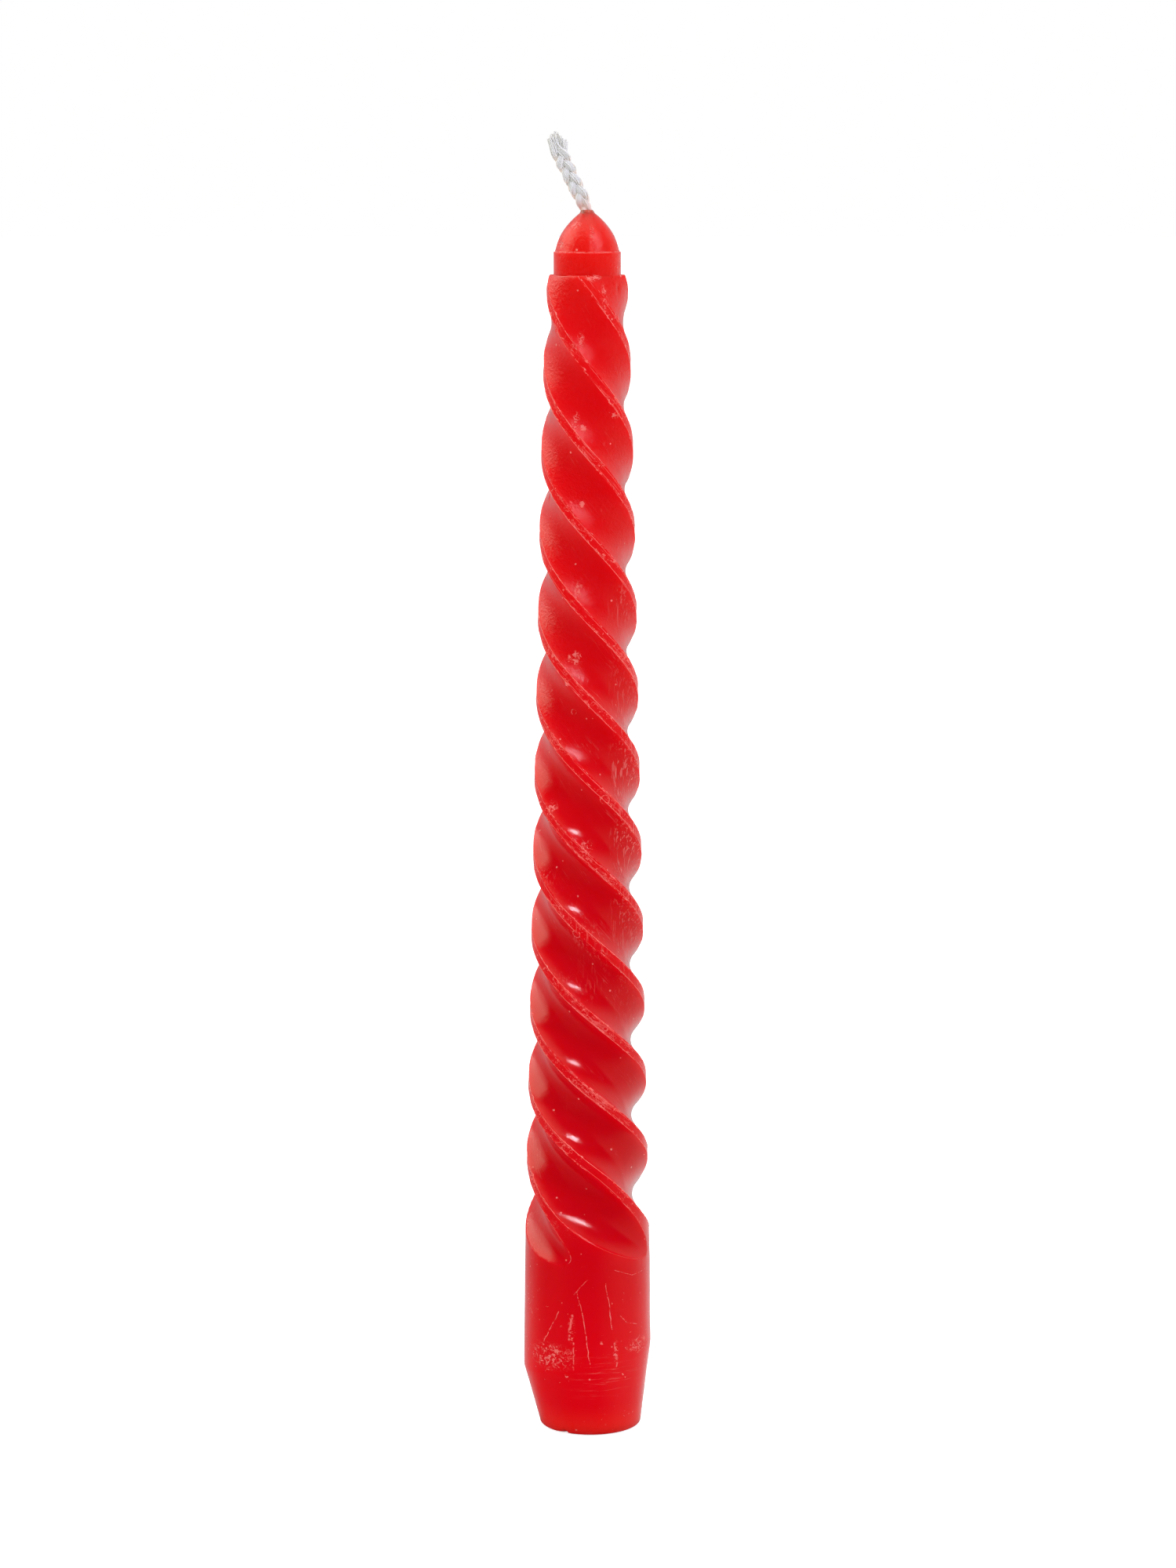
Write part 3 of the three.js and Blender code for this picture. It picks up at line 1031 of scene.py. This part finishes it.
def strand_path(strand):
    """Curve along one strand's middle. Its radius holds the length from the plait's start."""
    stations = [WICK_FOOT, 60.0, 130.0, 190.0, *evenly(120, PLAIT_START, WICK.end)]
    curve = bpy.data.curves.new("strand_path", "CURVE")
    curve.dimensions = "3D"
    spline = curve.splines.new("POLY")
    spline.points.add(len(stations) - 1)
    for point, station in zip(spline.points, stations):
        phase = plait_phase(strand, station)
        opened = brush_opened(station)
        past = (station - WAX_TOP + GATHERED_BELOW_TOP) / (GATHERED_BELOW_TOP + SPREAD_ABOVE_TOP)
        gathered = blend(WICK_GATHERED, 1.0, smoothed(past))
        middle, slope = WICK.at(station)
        across = Vector((slope.z, 0, -slope.x))
        spread = gathered * (1 + BRUSH_SPREAD * opened)
        place = middle + across * spread * PLAIT_HALF_WIDTH * math.sin(phase)
        flattened = 1 - BRUSH_FLATTENING * opened
        place.y += gathered * flattened * PLAIT_HALF_DEPTH * math.sin(2 * phase)
        point.co = (*place, 1)
        point.radius = station - PLAIT_START
    return new_object("strand_path", curve)


def yarn_recipe(material, seed, side):
    """Fibres laid round a strand's path, which part into a slanting brush near the cut end."""
    recipe = Recipe(
        "wick yarn",
        fibres=30,
        yarn_radius=0.50,
        gathered=WICK_GATHERED,
        fibre_radius=0.088,
        core_radius=0.49,
        twist_pitch=11.0,
        brush_length=BRUSH_LENGTH,
        side_in_brush=side,
        cut_slant=1.0,
        uneven_ends=0.5,
        seed=seed,
        material=material,
    )
    tree = recipe.tree
    path = recipe.store(recipe.source(), "worked", recipe.step("InputRadius"))
    path = recipe.step("SetCurveRadius", Curve=path, Radius=1.0)
    worked = recipe.attribute("worked")
    opened = (worked - PLAITED_LENGTH).smooth(recipe.size("Brush length") * -1, 0.0)
    tip = WAX_TOP - PLAIT_START
    spread = worked.smooth(tip - GATHERED_BELOW_TOP, tip + SPREAD_ABOVE_TOP)
    fullness = blend(recipe.size("Gathered"), 1.0, spread)
    whole = add_node(tree, "GeometryNodeJoinGeometry")
    for part in (yarn_core, yarn_fibres):
        tree.links.new(part(recipe, path, opened, fullness).socket, whole.inputs[0])
    yarn = Field(tree, whole.outputs[0])
    recipe.finish(recipe.step("Transform", Geometry=yarn, Scale=(MM, MM, MM)))
    return recipe


def yarn_core(recipe, path, opened, fullness):
    """What fills the yarn. It stops short of the loose ends."""
    size = recipe.size
    core = recipe.step("SetCurveRadius", Curve=path, Radius=fullness * (1 - opened * 0.16))
    cut = (size("Side in brush") + BRUSH_PEAK_OFFSET).size() * size("Cut slant") + 1.2
    return tube(recipe, shortened(recipe, core, cut), CORE_SIDES, size("Core radius"))


def yarn_fibres(recipe, path, opened, fullness):
    """Copies of the path, moved out from it, turned round it and cut on a slant."""
    tree = recipe.tree
    size = recipe.size
    worked = recipe.attribute("worked")
    settings = {"domain": "SPLINE"}
    inputs = {"Geometry": path, "Amount": size("Fibres")}
    copies = add_node(tree, "GeometryNodeDuplicateElements", settings, **inputs)
    fibres = recipe.store(Field(tree, copies.outputs[0]), "fibre", Field(tree, copies.outputs[1]))
    fibre = recipe.attribute("fibre")

    def chance(low, high, salt):
        """A random number for each fibre."""
        settings = {"data_type": "FLOAT"}
        inputs = {"Min": low, "Max": high, "ID": fibre, "Seed": size("Seed") + salt}
        return result(tree, "FunctionNodeRandomValue", settings, **inputs)

    def wander(salt):
        """A slow drift to and fro along each fibre."""
        apart = combine(tree, fibre * 9.1 + salt, 0.0, 0.0)
        at = vector_sum(tree, "ADD", recipe.step("InputPosition"), apart)
        return noise(at, 0.8, detail=1.0) - 0.5

    # Most fibres lie close, and a few have worked loose. In the brush a third fill the middle.
    loose = chance(0.0, 1.0, 4).smooth(0.86, 0.88)
    inner = chance(0.0, 1.0, 7).smooth(0.34, 0.33)
    parted = blend(chance(0.95, 1.40, 1), chance(0.15, 0.45, 8), inner)
    normal = recipe.step("InputNormal")
    beside = vector_sum(tree, "CROSS_PRODUCT", recipe.step("InputTangent"), normal)
    angle = (fibre / size("Fibres") + worked * (1 - opened * 0.3) / size("Twist pitch")) * math.tau
    reach = size("Yarn radius") * fullness * blend(1.0, parted, opened)
    reach = reach + loose * fullness * 0.10
    shift = loose * 0.5 * (1 - opened * 0.6) + opened * (1 - inner) * 0.14
    sideways = vector_sum(tree, "SCALE", normal, reach * angle.cos() + wander(0.0) * shift)
    forwards = vector_sum(tree, "SCALE", beside, reach * angle.sin() + wander(40.0) * shift)
    moved = vector_sum(tree, "ADD", sideways, forwards)
    fibres = recipe.step("SetPosition", Geometry=fibres, Offset=moved)
    thickness = (1 - opened * 0.1) * (1 - loose * 0.65) * fullness
    fibres = recipe.step("SetCurveRadius", Curve=fibres, Radius=thickness)

    # The cut slants down on both sides of the wick's middle.
    end_turns = size("Twist pitch") ** -1 * PLAITED_LENGTH * 0.7
    end_angle = (fibre / size("Fibres") + end_turns) * math.tau
    from_peak = size("Side in brush") + end_angle.cos() * 0.4 + BRUSH_PEAK_OFFSET
    cut = (from_peak * size("Cut slant")).calculate("MAXIMUM", from_peak * -0.9)
    fibres = shortened(recipe, fibres, cut + chance(0.0, size("Uneven ends"), 3))
    return tube(recipe, fibres, FIBRE_SIDES, size("Fibre radius"))


def shortened(recipe, curves, by):
    """Cuts a length off each curve's end."""
    length = result(recipe.tree, "GeometryNodeSplineLength")
    return recipe.step("TrimCurve", {"mode": "LENGTH"}, Curve=curves, End=length - by)


def tube(recipe, curves, sides, radius):
    """A closed tube along each curve."""
    settings = {"mode": "RADIUS"}
    section = recipe.step("CurvePrimitiveCircle", settings, Resolution=sides, Radius=radius)
    return recipe.step("CurveToMesh", Curve=curves, Profile_Curve=section, Fill_Caps=True)


def cotton():
    """Undyed cotton: matt, tinted by the wax at its root, and with a painted warm glow deep between
    the strands.

    The glow stands in for light that passes through the cotton.
    """
    yarn = Finish("undyed cotton")
    place = yarn.place()
    _, y, z = separate(place)
    fibre = noise(stretch(place, 1.0, 1.0, 0.25), 9.0, detail=2.0)
    cloud = noise(place, 1.1, detail=2.0)
    # Painted glow: deep between the strands the cotton is painted warmer, for light that passes
    # through it
    deep = y.size().smooth(0.80, 0.30)
    warm = z.smooth(219.0, 216.5) * deep * cloud.smooth(0.36, 0.56)
    tinted = z.smooth(211.6, 208.8)
    colour = yarn.mix(fibre.smooth(0.3, 0.7), (0.80, 0.79, 0.73), (0.86, 0.85, 0.80))
    colour = yarn.mix(warm * 0.8, colour, (0.94, 0.79, 0.64))
    colour = yarn.mix(tinted * 0.7, colour, (0.95, 0.58, 0.45))
    yarn.bump(fibre, 0.00004)
    yarn.set(
        Base_Color=colour,
        Roughness=0.9,
        Specular_IOR_Level=0.2,
        Sheen_Weight=0.3,
        Sheen_Roughness=0.5,
        Subsurface_Weight=0.3,
        Subsurface_Radius=(1.0, 0.85, 0.70),
        Subsurface_Scale=0.0006,
    )
    return yarn.material


def wick():
    material = cotton()
    for strand in range(STRAND_COUNT):
        recipe = yarn_recipe(material, WICK_SEED + strand, side_in_brush(strand))
        piece = recipe.apply(strand_path(strand), f"plait_yarn_{strand + 1}")
        hand_over(piece, "wick", f"wick_strand_{strand + 1}")


# Studio


def aim(made, target, azimuth, elevation, distance):
    """Stands a camera or a lamp off its target, facing it. Azimuth 0 is in front and 90 at +X."""
    turned = math.radians(azimuth)
    raised = math.radians(elevation)
    across = math.cos(raised)
    back = Vector((math.sin(turned) * across, -math.cos(turned) * across, math.sin(raised)))
    made.location = Vector(target) + back * distance
    made.rotation_euler = (-back).to_track_quat("-Z", "Y").to_euler()


def camera():
    data = bpy.data.cameras.new("camera")
    data.lens = CAMERA_LENS
    data.sensor_width = 36.0
    data.clip_start = 0.05
    data.clip_end = 50.0
    made = new_object("camera", data)
    aim(made, CAMERA_TARGET, 0.0, CAMERA_ELEVATION, CAMERA_DISTANCE)
    bpy.context.scene.camera = made


def panel(name, azimuth, elevation, distance, width, height, radiance, colour=(1.0, 1.0, 1.0)):
    """A rectangular light that faces the candle. One with a radiance of 1 looks plain white."""
    data = bpy.data.lights.new(name, "AREA")
    data.shape = "RECTANGLE"
    data.size = width
    data.size_y = height
    data.energy = radiance * math.pi * width * height
    data.color = colour
    aim(new_object(name, data), LAMP_TARGET, azimuth, elevation, distance)


def lamps():
    """Lamps by azimuth, elevation, distance, width, height and radiance."""
    panel("key lamp", 43, 43, 1.5, 0.17, 0.34, 33.0, (0.90, 0.88, 1.30))
    panel("left softbox", -103, 40, 1.0, 1.04, 0.73, 1.2)
    panel("overhead panel", 0, 88, 1.6, 1.4, 1.4, 0.55)


def light_path(tree, *kinds):
    """1 for the kinds of ray that are named, and 0 for the others."""
    rays = tree.nodes.new("ShaderNodeLightPath")
    return strongest([Field(tree, rays.outputs[f"Is {kind} Ray"]) for kind in kinds])


def world():
    """White for the camera, and a plain level of light on the object.

    The candle's gloss shows a backdrop behind it, a softbox at its left, a weaker one above and
    the unlit side of the studio in front.
    """
    made = bpy.data.worlds.new("white studio")
    bpy.context.scene.world = made
    made.use_nodes = True
    tree = made.node_tree
    direction = Field(tree, tree.nodes.new("ShaderNodeTexCoord").outputs["Generated"])
    x, y, z = separate(direction)
    backdrop = y.smooth(-0.25, 0.45) * (x.smooth(0.0, 0.4) * 0.04 + BACKDROP_LEVEL)
    softbox_x, softbox_y, softbox_z = SOFTBOX_DIRECTION
    toward_softbox = x * softbox_x + y * softbox_y + z * softbox_z
    softbox = toward_softbox.smooth(0.80, 0.92) * SOFTBOX_LEVEL
    above = z.smooth(0.72, 0.92) * ABOVE_LEVEL
    reflected = strongest([backdrop, softbox, above])
    seen = light_path(tree, "Camera", "Transmission")
    glossy = light_path(tree, "Glossy")
    strength = blend(blend(PLAIN_LEVEL, reflected, glossy), 1.0, seen)
    background = tree.nodes["Background"]
    background.inputs["Color"].default_value = (1.0, 1.0, 1.0, 1.0)
    plug(tree, strength, background.inputs["Strength"])


def floor():
    """White paper that keeps a faint shadow. In gloss it is dark in front, where no light falls."""
    bpy.ops.mesh.primitive_plane_add(size=FLOOR_SIZE, location=(0, 0, FLOOR_HEIGHT))
    made = bpy.context.object
    made.name = "studio_floor"
    material = bpy.data.materials.new("white floor")
    material.use_nodes = True
    tree = material.node_tree
    tree.nodes.remove(tree.nodes["Principled BSDF"])
    place = Field(tree, tree.nodes.new("ShaderNodeTexCoord").outputs["Object"])
    direction = vector_sum(tree, "NORMALIZE", place, (0.0, 0.0, 0.0))
    x, y, _ = separate(direction)
    sides = x.smooth(0.2, 1.1) * 0.42 + (x * -1).smooth(0.3, 1.0) * 0.1
    behind = y.smooth(-0.3, 0.9) * 0.5 + y.smooth(0.5, 0.9) * x.smooth(0.0, 0.4) * 0.25
    lit = sides + behind + 0.03
    seen = light_path(tree, "Camera", "Transmission")
    glossy = light_path(tree, "Glossy")
    paper = add_node(tree, "ShaderNodeBsdfDiffuse", Color=(0.8, 0.8, 0.8, 1.0))
    glow = add_node(tree, "ShaderNodeEmission", Strength=seen * 0.7)
    reflected = add_node(tree, "ShaderNodeEmission", Strength=lit)
    both = tree.nodes.new("ShaderNodeAddShader")
    tree.links.new(paper.outputs[0], both.inputs[0])
    tree.links.new(glow.outputs[0], both.inputs[1])
    mixed = add_node(tree, "ShaderNodeMixShader", Fac=glossy)
    tree.links.new(both.outputs[0], mixed.inputs[1])
    tree.links.new(reflected.outputs[0], mixed.inputs[2])
    tree.links.new(mixed.outputs[0], tree.nodes["Material Output"].inputs["Surface"])
    made.data.materials.append(material)


camera()
wax_body()
wick()
world()
floor()
lamps()

bpy.context.scene.view_settings.view_transform = "Standard"
